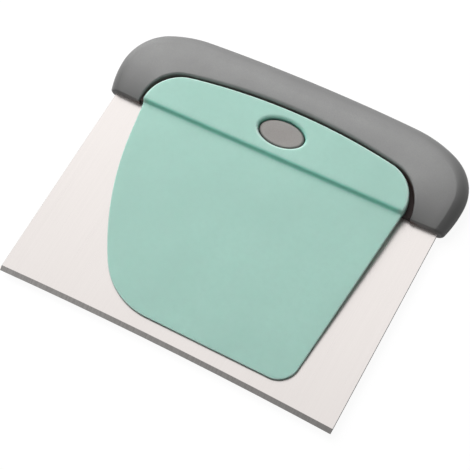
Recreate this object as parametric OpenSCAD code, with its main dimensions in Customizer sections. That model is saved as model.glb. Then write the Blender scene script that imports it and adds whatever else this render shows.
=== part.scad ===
// Bench scraper with a flexible bowl scraper nested in its handle.
// X runs along the cutting edge, Y from the cutting edge to the handle and Z up
// through the set, which lies on the flat back of the handle.
// While it is drawn, Y starts at the lower corners of the blade's flat front face, above
// the bevel, and Z at that face. The whole set is then moved on to its own frame.

/* [Blade] */
// Width of the steel blade
blade_w = 150; // [130:1:180]
// Thickness of the steel sheet
blade_t = 1.2; // [0.8:0.1:1.6]
// Height of the blade's flat face that shows below the handle
blade_show = 90; // [76:1:108]
// Rise of the middle of the cutting edge above its corners
edge_bow = 1.3; // [0.6:0.1:3]
// Width of the ground bevel along the cutting edge
bevel_w = 1.9; // [1.4:0.1:4]
// Thickness left at the ground edge
edge_land = 0.15; // [0.05:0.01:0.3]
// Depth that the full blade width reaches into the handle's legs
shoulder_depth = 3; // [2:0.5:4]

/* [Handle] */
// Overhang of the handle past each side of the blade at its widest
overhang = 4.9; // [3.5:0.1:8]
// Height of the handle from the legs' ends to the top of the arch
handle_h = 39; // [34:0.2:48]
// Radius of the long arch along the top
arch_r = 760; // [500:10:1200]
// Distance from each side of the handle to the end of the long arch
shoulder_run = 30.5; // [27:0.5:36]
// Radius of the shoulders, where the arch starts to turn down
shoulder_r = 53; // [40:1:70]
// Radius of the upper corners
corner_r = 20.5; // [16:0.5:24]
// Radius of the bulge down the outside of each leg
side_r = 45; // [34:1:70]
// Distance from the top of the arch down to the ridge of the crown
ridge_drop = 10.5; // [8:0.5:13]
// Height of the arch's crown above the blade
crown_z = 10; // [9:0.2:14]
// Height of the legs' ends above the blade
leg_z = 3.2; // [3:0.1:6]
// Height of the handle's widest line above the blade
widest_z = 2; // [1:0.2:4]
// Fall of the legs' faces towards their outer edges
side_fall = 2.2; // [0:0.2:3]
// Fall of the widest line towards the legs' ends
widest_fall = 2; // [0:0.2:3]
// Thickness of the handle behind the blade
back_t = 2.8; // [2.6:0.1:5]
// Width of the rounded outer edge along the arch
arch_roll = 9; // [7:0.5:11]
// Width of the rounded outer edge at the top of the legs
leg_roll = 4.8; // [4:0.2:7]
// Narrowing of that edge towards the legs' ends
roll_fall = 1.2; // [0:0.2:2.4]
// Straightness of the legs' flanks, from 1 for a quarter of an oval to 2 for a slope
flank = 1.5; // [1:0.1:2]
// Width of the rounded edge on the back
back_roll = 5; // [3.5:0.5:6]
// Fall of the arch's face towards the rim of the recess
rim_drop = 0.8; // [0:0.1:1.2]
// Radius of that rim along the arch
rim_r = 1.1; // [0.8:0.1:2.4]
// Radius of the rim down the legs
leg_rim_r = 0.8; // [0.5:0.1:2]
// Radius round the ends of the legs
end_r = 0.8; // [0.6:0.1:2]

/* [Recess] */
// Gap between the scraper's grip and the recess at each side
side_gap = 2.7; // [2:0.1:5]
// Gap between the scraper's grip and the recess at the top of the arch
top_gap = 0.6; // [0.5:0.1:2]
// Radius of the recess's corners
recess_r = 18; // [12:0.5:20]
// Thickness of the panel in front of the blade
panel_t = 3; // [2.4:0.1:4]
// Rise of the panel's lower edge above the legs' ends
panel_lift = 0.4; // [0:0.1:1.5]

/* [Rigid core] */
// Distance from the handle's outline to the core
core_inset = 5; // [4.5:0.1:6]
// Soft wall between the core and the recess
recess_skin = 2; // [1.6:0.1:2.6]
// Soft wall under the ends of the core's legs
end_skin = 2; // [1.5:0.1:4]
// Height of the core's raised band above the blade
band_z = 6; // [5:0.1:6.4]
// Height of the raised band's feet above the legs' ends
band_foot = 11; // [10:0.5:14]
// Thickness of the core's band behind the blade
back_band_t = 2; // [1.8:0.1:2.2]
// Distance from the handle's outline to the blade's tang
tang_inset = 5.5; // [5:0.1:7]
// Diameter of the rivet shanks
rivet_d = 4; // [3:0.1:4.4]
// Diameter of the rivet heads
rivet_head_d = 7; // [6:0.1:7.4]
// Thickness of the rivet heads
rivet_head_t = 1; // [0.8:0.1:1.2]
// Height of the leg rivets above the legs' ends
leg_rivet_y = 17; // [15.5:0.5:19]
// Distance of the arch rivets from the middle
arch_rivet_x = 38; // [25:1:44]

/* [Stud] */
// Length of the oval stud
stud_l = 20.2; // [17:0.1:26]
// Width of the oval stud
stud_w = 11.8; // [10:0.1:14.4]
// Height of the stud's top above the blade
stud_z = 6.5; // [5.5:0.1:7]
// Radius round the stud's top
stud_edge_r = 1; // [0.4:0.1:1.4]
// Distance from the legs' ends up to the stud's centre
stud_y = 10.4; // [9:0.1:12]
// Diameter of the two pegs under the stud
peg_d = 4; // [3:0.1:4.4]
// Distance between the two pegs
peg_pitch = 9; // [7:0.1:11]
// Depth that the pegs reach behind the blade
peg_depth = 2; // [1.2:0.1:2.6]

/* [Bowl scraper] */
// Width of the scraper's grip
grip_w = 120.6; // [100:0.1:136]
// Distance from the legs' ends down to the step under the grip
step_drop = 0.6; // [0:0.1:2]
// Height of the grip from the step to the top of its arch
grip_h = 22; // [20:0.2:26]
// Radius of the arch along the grip's top
grip_arch_r = 262; // [220:2:400]
// Radius of the grip's corners
grip_corner_r = 16.5; // [11:0.1:18]
// Radius at the lower corners of the grip
grip_foot_r = 1.5; // [1.5:0.1:3]
// Height of the grip's face above the blade
grip_z = 7.7; // [7:0.1:8.4]
// Radius round the grip's face
grip_edge_r = 1.2; // [0.6:0.1:1.4]
// Thickness of the flexible blade where it leaves the grip
flex_root_t = 2; // [1.6:0.1:2.6]
// Thickness of the flexible blade at its working edge
flex_tip_t = 1; // [0.8:0.1:1.4]
// Distance from the cutting edge's corners to the scraper's working edge
tip_y = 6.7; // [4:0.1:12]
// Radius of the corner at the straight side
tip_corner_r = 8.8; // [5:0.1:14]
// Lean of the straight side, in degrees
straight_lean = 5.4; // [2:0.1:9]
// Radius of the corner at the curved side
heel_corner_r = 31; // [20:0.5:40]
// Angle that the corner at the curved side turns through
heel_turn = 56; // [45:1:65]
// Radius of the long curved side
bowl_r = 133; // [100:1:160]
// Lean of the curved side where it leaves the grip, in degrees
bowl_lean = 8.8; // [4:0.1:12]
// Rounding of the hole's rim
hole_edge_r = 1.5; // [0.8:0.1:1.8]

/* [Fits] */
// Clearance between a pin and its hole, on the radius
pin_fit = 0.05; // [0.03:0.01:0.1]
// Clearance between the soft grip and what it is moulded over
mould_fit = 0.05; // [0.02:0.01:0.1]
// Clearance round the stud in the scraper's hole
hole_fit = 0.35; // [0.25:0.05:0.6]
// Gap under the nested scraper
rest_gap = 0.3; // [0.2:0.05:0.5]

/* [Hidden] */
steel = [0.86, 0.85, 0.83];
matt_grey = [0.55, 0.55, 0.54];
dark_grey = [0.36, 0.36, 0.36];
rivet_steel = [0.72, 0.72, 0.74];
sea_green = [0.64, 0.82, 0.76];
// Greatest distance between a facet and the arc that it stands for
arc_error = 0.02;
// Angle between the points of the oval
oval_step = 6;
// Facets round the bores and pins, and round the circle of the cutting edge
bore_facets = 48;
bow_facets = 1440;
// Facets in a quarter of a rounded edge
round_steps = 3;
// Overlap of cutting shapes past the faces that they cut
over = 1;
// Length of the flexible blade's root inside the grip, its inset from the grip's sides and
// the distance below the step where its face levels out
root_lap = 2;
root_inset = 0.5;
root_drop = 1;
// Distance from the sides of the recess to the core's tongue
tongue_inset = 0.2;
// Least wall of the core between the leg rivets' heads and its outline
rivet_wall = 1.6;
// Radii round the flexible blade's underside and its face
flex_low_r = 0.3;
flex_high_r = 0.4;
// Radius round the underside of the grip
seat_edge_r = 0.4;
// Widest angle between points of the stud's hole
hole_step = 6;
// Stations along the handle's bar, between its rounded ends
bar_steps = 70;

// Plan of the handle
half_handle = blade_w / 2 + overhang;
top_y = blade_show + handle_h;
ridge_y = top_y - ridge_drop;
arch_end = asin((half_handle - shoulder_run) / arch_r);
shoulder_end = asin((shoulder_run + shoulder_r * sin(arch_end) - corner_r) / (shoulder_r - corner_r));
corner_y = top_y - arch_r * (1 - cos(arch_end)) - shoulder_r * (cos(arch_end) - cos(shoulder_end));
widest_y = corner_y - corner_r * cos(shoulder_end);
side_end = 90 + asin((widest_y - blade_show) / side_r);

// Plan of the recess and of the grip nested in it
half_grip = grip_w / 2;
half_recess = half_grip + side_gap;
step_y = blade_show - step_drop;
root_y = step_y - root_drop;
grip_top_y = step_y + grip_h;
recess_top_y = grip_top_y + top_gap;
recess_arch_r = grip_arch_r + top_gap;
panel_y = blade_show + panel_lift;

// Heights, from the blade's front face
back_z = -blade_t - back_t;
back_band_z = -blade_t - back_band_t;
seat_z = panel_t + rest_gap;

// Sizes that several pieces share
rivet_hole_d = rivet_d + 2 * pin_fit;
peg_hole_d = peg_d + 2 * pin_fit;
stud_centre_y = blade_show + stud_y;
leg_rivet_x = half_handle - core_inset - rivet_head_d / 2 - rivet_wall;
arch_rivet_y = (
    recess_top_y + recess_skin - arc_drop(recess_arch_r, arch_rivet_x)
    + top_y - core_inset - arc_drop(arch_r, arch_rivet_x)
) / 2;
rivet_places = [
    [-leg_rivet_x, blade_show + leg_rivet_y],
    [leg_rivet_x, blade_show + leg_rivet_y],
    [-arch_rivet_x, arch_rivet_y],
    [arch_rivet_x, arch_rivet_y]
];

// Fall of an arch of radius r at the distance x from its crown
function arc_drop(r, x) = r - sqrt(r * r - x * x);

// Chain of tangent arcs, each [radius, angle at its end]. Angles turn clockwise from +Y, and c
// is the centre of the first arc
function arcs(c, chain, from = 0) =
    let (
        r = chain[0][0],
        turn = chain[0][1] - from,
        steps = ceil(abs(turn) / (2 * acos(1 - arc_error / r))),
        end = [sin(chain[0][1]), cos(chain[0][1])],
        rest = [for (i = [1:1:len(chain) - 1]) chain[i]],
        points = [for (i = [0:steps]) let (a = from + turn * i / steps) c + r * [sin(a), cos(a)]]
    )
    len(rest) == 0
        ? points
        : concat([for (i = [0:steps - 1]) points[i]], arcs(c + (r - rest[0][0]) * end, rest, chain[0][1]));

// Left to right path from its right half, which starts at the crown
function both_halves(half) =
    concat([for (i = [len(half) - 1:-1:1]) [-half[i].x, half[i].y]], half);

// Point at the height y on the line from a to b, or straight below b where a isn't lower
function crossing(a, b, y) = [a.y < y ? b.x + (a.x - b.x) * (b.y - y) / (b.y - a.y) : b.x, y];

// Part of a left to right path above the height y
function above(path, y) =
    let (
        kept = [for (i = [0:len(path) - 1]) if (path[i].y > y) i],
        first = kept[0],
        last = kept[len(kept) - 1]
    )
    concat(
        [crossing(path[max(first - 1, 0)], path[first], y)],
        [for (i = kept) path[i]],
        [crossing(path[min(last + 1, len(path) - 1)], path[last], y)]
    );

function reversed(path) = [for (i = [len(path) - 1:-1:0]) path[i]];

// Unit normals that point to the right of a path
function normals(path, closed) =
    let (n = len(path))
    [for (i = [0:n - 1])
        let (
            a = closed ? path[(i + n - 1) % n] : path[max(i - 1, 0)],
            b = closed ? path[(i + 1) % n] : path[min(i + 1, n - 1)],
            t = (b - a) / norm(b - a)
        )
        [t.y, -t.x]];

function sum(list) = len(list) == 0 ? 0 : list * [for (x = list) 1];

// Path moved sideways by d, to its right
function shifted(path, d, closed = false) =
    let (n = normals(path, closed))
    [for (i = [0:len(path) - 1]) path[i] + d * n[i]];

// Points along an open path, at marks from 0 at its start to 1 at its end
function resampled(path, marks) =
    let (
        legs = [for (i = [1:len(path) - 1]) norm(path[i] - path[i - 1])],
        run = [for (i = 0, s = 0; i <= len(legs); s = s + (i < len(legs) ? legs[i] : 0), i = i + 1) s],
        total = run[len(run) - 1]
    )
    [for (m = marks)
        let (
            s = total * m,
            i = min(len(legs) - 1, max([for (j = [0:len(legs) - 1]) run[j] <= s ? j : 0]))
        )
        path[i] + (path[i + 1] - path[i]) * (s - run[i]) / legs[i]];

// Left to right along the outside of the handle, from leg end to leg end
function handle_path() =
    both_halves(arcs(
        [0, top_y - arch_r],
        [[arch_r, arch_end], [shoulder_r, shoulder_end], [corner_r, 90], [side_r, side_end]]
    ));

// Right half of an arch with round corners and upright sides
function arch_half(half, top, r, side_corner_r) =
    arcs([0, top - r], [[r, asin((half - side_corner_r) / (r - side_corner_r))], [side_corner_r, 90]]);

// Left to right along the wall of the recess
function recess_path() =
    both_halves(concat(
        arch_half(half_recess, recess_top_y, recess_arch_r, recess_r),
        [[half_recess, blade_show]]
    ));

// Outline of the scraper's grip, above the step
function grip_loop() =
    reversed(both_halves(concat(
        arch_half(half_grip, grip_top_y, grip_arch_r, grip_corner_r),
        arcs([half_grip - grip_foot_r, step_y + grip_foot_r], [[grip_foot_r, 180]], 90)
    )));

// Outline of the flexible blade, with its root under the grip
function flex_loop() =
    let (
        w = half_grip - root_inset,
        bowl = arcs([0, 0], [[bowl_r, 180 + heel_turn], [heel_corner_r, 180]], 270 - bowl_lean),
        bowl_y = tip_y - bowl[len(bowl) - 1].y,
        bowl_x = -w - bowl[0].x + (root_y - bowl[0].y - bowl_y) * tan(bowl_lean),
        tip = arcs([0, tip_y + tip_corner_r], [[tip_corner_r, 90 + straight_lean]], 180),
        tip_end = tip[len(tip) - 1],
        tip_x = w - tip_end.x - (root_y - tip_end.y) * tan(straight_lean)
    )
    concat(
        [[w, step_y + root_lap], [-w, step_y + root_lap], [-w, root_y]],
        [for (p = bowl) p + [bowl_x, bowl_y]],
        [for (p = tip) p + [tip_x, 0]],
        [[w, root_y]]
    );

// Oval of the stud, with its centre at the origin
function oval_loop(l, w) = [for (a = [0:oval_step:360 - oval_step]) [l / 2 * cos(a), w / 2 * sin(a)]];

// Faces of a closed skin over rings of n points each
function skin_faces(rings, n) =
    [
        [for (j = [0:n - 1]) j],
        for (k = [0:rings - 2])
            for (j = [0:n - 1])
                let (a = k * n + j, b = k * n + (j + 1) % n)
                each [[a, a + n, b], [b, a + n, b + n]],
        [for (j = [n - 1:-1:0]) (rings - 1) * n + j]
    ];

// Solid through rings of points that run counterclockwise, lowest ring first
module skin(rings) {
    n = len(rings[0]);
    polyhedron(points = [for (r = rings) each r], faces = skin_faces(len(rings), n));
}

// Slab over a closed loop with rounded edges; low and high are [height at y = 0, rise per mm of y]
module rounded_slab(loop, low, high, low_r, high_r) {
    turns = [for (i = [0:round_steps]) 90 * i / round_steps];
    skin([
        for (a = turns)
            [for (p = shifted(loop, -low_r * (1 - sin(a)), true))
                [p.x, p.y, low[0] + low[1] * p.y + low_r * (1 - cos(a))]],
        for (a = turns)
            [for (p = shifted(loop, -high_r * (1 - cos(a)), true))
                [p.x, p.y, high[0] + high[1] * p.y - high_r * (1 - sin(a))]]
    ]);
}

// Everything is drawn from the cutting edge and the blade's face, then set on the frame
module in_frame() {
    translate([0, (bevel_w - top_y) / 2, -back_z]) children();
}

// Lower end of the core's legs, inside the soft grip's legs
function core_foot(grow) = blade_show + end_skin - grow;

// Plan of the whole core, with its tongue between the legs
module core_plan(grow) {
    tongue = half_recess - tongue_inset;
    foot = core_foot(grow);
    polygon(concat(
        above(shifted(handle_path(), core_inset - grow), foot),
        [[tongue, foot], [tongue, panel_y], [-tongue, panel_y], [-tongue, foot]]
    ));
}

// Plan of the core's raised band inside the arch and the tops of the legs
module band_plan(grow) {
    foot = blade_show + band_foot - grow;
    polygon(concat(
        above(shifted(handle_path(), core_inset - grow), foot),
        reversed(above(shifted(recess_path(), grow - recess_skin), foot))
    ));
}

// Plan of the recess, grown by d, down to the height y
module recess_plan(d, y) {
    polygon(above(shifted(recess_path(), -d), y));
}

// Plan of the blade, with its tang inside the handle; low is the height of its lower edge
module blade_plan(grow, low) {
    side = blade_w / 2 + grow;
    shoulder = blade_show + shoulder_depth + grow;
    polygon(concat(
        [[-side, low], [-side, shoulder]],
        [for (p = shifted(handle_path(), tang_inset - grow)) if (p.y > shoulder) p],
        [[side, shoulder], [side, low]]
    ));
}

module round_holes(places, d, low, high) {
    for (p = places) translate([p.x, p.y, low]) cylinder(h = high - low, d = d, $fn = bore_facets);
}

module peg_places() {
    for (side = [-1, 1]) translate([side * peg_pitch / 2, stud_centre_y, 0]) children();
}

module blade() {
    bow_r = (blade_w * blade_w / 4 + edge_bow * edge_bow) / (2 * edge_bow);
    color(steel) in_frame() difference() {
        translate([0, 0, -blade_t]) linear_extrude(blade_t) blade_plan(0, -bevel_w - over);
        translate([0, edge_bow - bevel_w - bow_r, -blade_t]) {
            translate([0, 0, -over]) cylinder(h = blade_t + 2 * over, r = bow_r, $fn = bow_facets);
            translate([0, 0, edge_land])
                cylinder(h = blade_t - edge_land, r1 = bow_r, r2 = bow_r + bevel_w, $fn = bow_facets);
        }
        round_holes(rivet_places, rivet_hole_d, -blade_t - over, over);
        peg_places() translate([0, 0, -blade_t - over])
            cylinder(h = blade_t + 2 * over, d = peg_hole_d, $fn = bore_facets);
    }
}

module front_core() {
    color(dark_grey) in_frame() difference() {
        union() {
            linear_extrude(panel_t) core_plan(0);
            linear_extrude(band_z) band_plan(0);
        }
        round_holes(rivet_places, rivet_hole_d, -over, band_z + over);
        round_holes(rivet_places, rivet_head_d + 2 * pin_fit, band_z - rivet_head_t, band_z + over);
        peg_places() translate([0, 0, -over])
            cylinder(h = panel_t + 2 * over, d = peg_hole_d, $fn = bore_facets);
    }
}

module back_core() {
    color(matt_grey) in_frame() difference() {
        union() {
            translate([0, 0, back_band_z]) linear_extrude(back_band_t) core_plan(0);
            translate([0, 0, back_z]) linear_extrude(back_t) recess_plan(-mould_fit, panel_y);
        }
        round_holes(rivet_places, rivet_hole_d, back_z - over, over);
        round_holes(rivet_places, rivet_head_d + 2 * pin_fit, back_z - over, back_band_z + rivet_head_t);
        peg_places() translate([0, 0, -blade_t - peg_depth - rest_gap])
            cylinder(h = peg_depth + rest_gap + over, d = peg_hole_d, $fn = bore_facets);
    }
}

module core_rivets() {
    color(rivet_steel) in_frame() {
        round_holes(rivet_places, rivet_d, back_band_z, band_z);
        round_holes(rivet_places, rivet_head_d, back_band_z, back_band_z + rivet_head_t);
        round_holes(rivet_places, rivet_head_d, band_z - rivet_head_t, band_z);
    }
}

// How far down the legs the height y is, from 0 at the ridge of the crown to 1 at the legs' ends
function down(y) = max(0, (ridge_y - y) / (ridge_y - blade_show));

// Section of the handle's bar from the outer point o to the inner point i; lean is how far
// the outside faces along Y, and e draws the section in where the leg's end is rounded
function bar_ring(o, i, lean, e) =
    let (
        w = norm(i - o),
        low = pow(down(o.y), 3),
        r = leg_rim_r + (rim_r - leg_rim_r) * lean * lean,
        roll = min(leg_roll + (arch_roll - leg_roll) * lean * lean, w - 2 * r) - roll_fall * low,
        widest = widest_z - widest_fall * low,
        rim = w - r,
        side = side_fall * (1 - lean * lean) * (1 - low),
        even = flank + (1 - flank) * lean * lean,
        face = function(d)
            crown_z - (crown_z - leg_z) * pow(down(o.y + (i.y - o.y) * d / w), 2)
            - side * pow(1 - d / w, 2) - rim_drop * lean * lean * pow(max(0, d - roll) / (w - roll), 2),
        half_step = 90 / round_steps / 2,
        section = [
            [w, back_z],
            for (a = [0:half_step:90]) [back_roll * (1 - sin(a)), widest - (widest - back_z) * cos(a)],
            for (a = [half_step:half_step:90])
                let (d = roll * (1 - pow(max(0, cos(a)), even)))
                [d, widest + (face(d) - widest) * pow(sin(a), even)],
            for (share = [1 / 3, 2 / 3]) let (d = roll + (rim - roll) * share) [d, face(d)],
            for (a = [0:half_step * 2:90]) [rim + r * sin(a), face(rim) - r * (1 - cos(a))]
        ],
        middle = [w / 2, (face(w / 2) + back_z) / 2],
        shrink = [1 - 2 * e / w, 1 - 2 * e / (face(w / 2) - back_z)]
    )
    [for (p = section)
        let (d = middle.x + (p.x - middle.x) * shrink.x, z = middle.y + (p.y - middle.y) * shrink.y)
        [o.x + (i.x - o.x) * d / w, o.y + (i.y - o.y) * d / w, z]];

// The handle's outer shape: a bar along the arch and the legs
module bar() {
    outer = handle_path();
    length = sum([for (k = [1:len(outer) - 1]) norm(outer[k] - outer[k - 1])]);
    end = [for (a = [0:90 / round_steps:90]) end_r * (1 - cos(a))];
    runs = [
        for (t = end) t,
        for (k = [1:bar_steps - 1]) end_r + (length - 2 * end_r) * k / bar_steps,
        for (t = reversed(end)) length - t
    ];
    marks = [for (t = runs) t / length];
    o = resampled(outer, marks);
    i = resampled(recess_path(), marks);
    n = normals(o, false);
    skin([
        for (k = [0:len(runs) - 1])
            let (gap = max(0, end_r - min(runs[k], length - runs[k])))
            bar_ring(o[k], i[k], abs(n[k].y), end_r - sqrt(end_r * end_r - gap * gap))
    ]);
}

module soft_grip() {
    color(matt_grey) in_frame() difference() {
        bar();
        translate([0, 0, -mould_fit]) {
            linear_extrude(band_z + 2 * mould_fit) band_plan(mould_fit);
            linear_extrude(panel_t + 2 * mould_fit) core_plan(mould_fit);
        }
        translate([0, 0, -blade_t - mould_fit])
            linear_extrude(blade_t + 2 * mould_fit) blade_plan(mould_fit, 0);
        translate([0, 0, back_band_z - mould_fit])
            linear_extrude(back_band_t + 2 * mould_fit) core_plan(mould_fit);
    }
}

module stud() {
    oval = [for (p = oval_loop(stud_l, stud_w)) [p.x, p.y + stud_centre_y]];
    color(matt_grey) in_frame() {
        rounded_slab(oval, [panel_t, 0], [stud_z, 0], pin_fit, stud_edge_r);
        peg_places() translate([0, 0, -blade_t - peg_depth])
            cylinder(h = blade_t + peg_depth + panel_t + over, d = peg_d, $fn = bore_facets);
    }
}

// Loop with its edges split, so that a turn about the point c is never over hole_step
function split_loop(loop, c) =
    let (n = len(loop))
    [for (i = [0:n - 1])
        let (
            a = loop[i],
            b = loop[(i + 1) % n],
            turn = acos((a - c) * (b - c) / norm(a - c) / norm(b - c)),
            parts = max(1, ceil(turn / hole_step))
        )
        for (k = [0:parts - 1]) a + (b - a) * k / parts];

// Points of the oval l by w round c, each towards the same point of the loop
function oval_towards(loop, c, l, w) =
    [for (p = loop)
        let (a = atan2((p.y - c.y) / w, (p.x - c.x) / l))
        c + [l / 2 * cos(a), w / 2 * sin(a)]];

// Faces of a closed ring of sections, with n points in each
function ring_faces(sections, n) =
    [for (k = [0:sections - 1])
        for (j = [0:n - 1])
            let (a = k * n + j, b = k * n + (j + 1) % n, c = (k + 1) % sections * n)
            each [[a, c + j, b], [b, c + j, c + (j + 1) % n]]];

// The grip, with its rounded edges and the flared hole for the stud
module grip_slab() {
    centre = [0, stud_centre_y];
    loop = split_loop(grip_loop(), centre);
    oval = oval_towards(loop, centre, stud_l + 2 * hole_fit, stud_w + 2 * hole_fit);
    turns = [for (i = [0:round_steps]) 90 * i / round_steps];
    rings = [
        for (a = turns)
            [for (p = shifted(loop, -seat_edge_r * (1 - sin(a)), true))
                [p.x, p.y, seat_z + seat_edge_r * (1 - cos(a))]],
        for (a = turns)
            [for (p = shifted(loop, -grip_edge_r * (1 - cos(a)), true))
                [p.x, p.y, grip_z - grip_edge_r * (1 - sin(a))]],
        for (i = [round_steps:-1:0])
            let (a = turns[i])
            [for (p = shifted(oval, hole_edge_r * (1 - cos(a)), true))
                [p.x, p.y, grip_z - hole_edge_r * (1 - sin(a))]],
        [for (p = oval) [p.x, p.y, seat_z]]
    ];
    polyhedron(points = [for (r = rings) each r], faces = ring_faces(len(rings), len(loop)));
}

module bowl_scraper() {
    low_rise = (seat_z - rest_gap) / (root_y - tip_y);
    high_rise = (seat_z + flex_root_t - rest_gap - flex_tip_t) / (root_y - tip_y);
    color(sea_green) in_frame() {
        grip_slab();
        rounded_slab(
            flex_loop(),
            [rest_gap - low_rise * tip_y, low_rise],
            [rest_gap + flex_tip_t - high_rise * tip_y, high_rise],
            flex_low_r,
            flex_high_r
        );
    }
}

blade();
front_core();
back_core();
core_rivets();
soft_grip();
stud();
bowl_scraper();
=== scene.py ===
"""Looks for a bench scraper that carries a flexible bowl scraper in its handle."""

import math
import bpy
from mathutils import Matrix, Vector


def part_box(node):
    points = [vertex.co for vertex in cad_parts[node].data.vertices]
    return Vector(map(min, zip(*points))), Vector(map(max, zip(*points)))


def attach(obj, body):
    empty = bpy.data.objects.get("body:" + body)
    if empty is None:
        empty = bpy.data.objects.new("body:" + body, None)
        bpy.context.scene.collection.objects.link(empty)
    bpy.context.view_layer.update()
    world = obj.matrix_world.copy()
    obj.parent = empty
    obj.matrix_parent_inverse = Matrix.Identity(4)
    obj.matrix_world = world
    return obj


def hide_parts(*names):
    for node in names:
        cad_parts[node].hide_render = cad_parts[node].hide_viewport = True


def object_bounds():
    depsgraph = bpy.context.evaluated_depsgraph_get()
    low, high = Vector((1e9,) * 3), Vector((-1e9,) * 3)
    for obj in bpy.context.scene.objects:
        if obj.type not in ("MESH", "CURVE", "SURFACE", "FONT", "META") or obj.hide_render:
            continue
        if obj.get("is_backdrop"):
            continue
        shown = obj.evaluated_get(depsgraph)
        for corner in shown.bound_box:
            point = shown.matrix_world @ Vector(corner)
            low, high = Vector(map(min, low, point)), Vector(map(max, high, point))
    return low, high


bl_info = {
    "name": "Bench scraper with bowl scraper",
    "version": (1, 0, 0),
    "blender": (4, 5, 0),
    "location": "3D View > Sidebar > Scraper",
    "description": "Builds the soft handle, the nested bowl scraper and their finishes",
    "category": "Object",
}

import bmesh
import bpy
from mathutils import Matrix, Vector
from mathutils.geometry import delaunay_2d_cdt

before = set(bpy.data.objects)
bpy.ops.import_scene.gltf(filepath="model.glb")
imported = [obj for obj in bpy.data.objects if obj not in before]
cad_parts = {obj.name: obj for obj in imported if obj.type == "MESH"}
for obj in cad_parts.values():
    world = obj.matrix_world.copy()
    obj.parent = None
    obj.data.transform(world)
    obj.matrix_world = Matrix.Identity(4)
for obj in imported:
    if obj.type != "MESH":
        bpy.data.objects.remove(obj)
MM = 0.001

# The set is laid out from the lower corners of the blade's flat face, as its drawing is
BEVEL = 1.9 * MM
BLADE_LOW, BLADE_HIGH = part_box("blade")
GRIP_LOW, GRIP_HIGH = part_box("soft_grip")
GREEN_LOW, GREEN_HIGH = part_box("bowl_scraper")
STUD_LOW, STUD_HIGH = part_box("stud")
EDGE_Y = BLADE_LOW.y + BEVEL
FACE_Z = BLADE_HIGH.z
FACE_LENGTH = 90 * MM

# The camera was solved from the four corners of the blade in the photograph. Its place is given
# from the middle between the lower corners of the blade's face
CAMERA_RIGHT = Vector((0.87003341, 0.48413375, -0.09303967))
CAMERA_UP = Vector((-0.40090103, 0.80463099, 0.43800381))
CAMERA_PLACE = Vector((161.095, -135.217, 492.15)) * MM
KEY_PLACE = (-0.52, 0.42, 0.74)
SHEEN_PLACE = (-0.26, 0.31, 0.8)
LAMP_WIDTH = 1.1

# Where each stretch of the soft grip's section stops, counted round from the middle of its back
BACK_STOP = 5
WIDEST = 17
ROLL_STOP = 35
FACE_STOP = 45
RIM_STOP = 58
SECTION_STOP = 64


def size(name, millimetres, description):
    """A length that a user may change."""
    return bpy.props.FloatProperty(
        name=name,
        description=description,
        default=millimetres * MM,
        min=0.0,
        precision=5,
        subtype="DISTANCE",
        unit="LENGTH",
    )


def angle(name, degrees, description):
    """An angle that a user may change."""
    return bpy.props.FloatProperty(
        name=name,
        description=description,
        default=math.radians(degrees),
        subtype="ANGLE",
        unit="ROTATION",
    )


def tint(name, red, green, blue, description):
    """A colour that a user may change, as it looks on a screen."""
    return bpy.props.FloatVectorProperty(
        name=name,
        description=description,
        default=(red, green, blue),
        min=0.0,
        max=1.0,
        size=3,
        subtype="COLOR_GAMMA",
    )


class HandleSizes(bpy.types.PropertyGroup):
    """Sizes of the soft grip that is moulded over the core."""

    foot: size("Foot height", 90, "Distance from the edge's corners to the legs' ends")
    rise: size("Rise", 39, "Height from the legs' ends to the top of the arch")
    arch: size("Arch radius", 760, "Radius of the long arch along the top")
    shoulder_run: size("Shoulder run", 30.5, "Distance from each side to the end of the arch")
    shoulder: size("Shoulder radius", 53, "Radius where the arch starts to turn down")
    corner: size("Corner radius", 20.5, "Radius of the upper corners")
    side: size("Side radius", 45, "Radius of the bulge down each leg")
    ridge_drop: size("Ridge drop", 10.5, "Distance from the top down to the ridge of the crown")
    leg_top: size("Leg height", 7.2, "Height of the legs' ends above the floor")
    widest: size("Widest height", 6, "Height of the widest line above the floor")
    side_fall: size("Side fall", 2.2, "Fall of the legs' faces towards their outer edges")
    widest_fall: size("Widest fall", 2, "Fall of the widest line towards the legs' ends")
    arch_roll: size("Arch roll", 9, "Width of the rounded outer edge along the arch")
    leg_roll: size("Leg roll", 4.8, "Width of the rounded outer edge at the top of the legs")
    roll_fall: size("Roll fall", 1.2, "Narrowing of that edge towards the legs' ends")
    flank: bpy.props.FloatProperty(
        name="Flank",
        description="Straightness of the legs' flanks, from 1 for an oval to 2 for a slope",
        default=1.5,
        min=1.0,
        max=2.0,
    )
    back_roll: size("Back roll", 5, "Width of the rounded edge on the back")
    rim_fall: size("Rim fall", 0.8, "Fall of the arch's face towards the rim of the recess")
    rim: size("Rim radius", 1.1, "Radius of that rim along the arch")
    leg_rim: size("Leg rim radius", 0.8, "Radius of the rim down the legs")
    end: size("End radius", 0.8, "Radius round the legs' ends")
    side_gap: size("Side gap", 2.7, "Gap between the bowl scraper's grip and the recess")
    top_gap: size("Top gap", 0.6, "Gap above the bowl scraper's grip")
    recess_corner: size("Recess corner", 18, "Radius of the recess's corners")
    stations: bpy.props.IntProperty(
        name="Stations", description="Sections along the handle", default=281, min=41
    )


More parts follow.
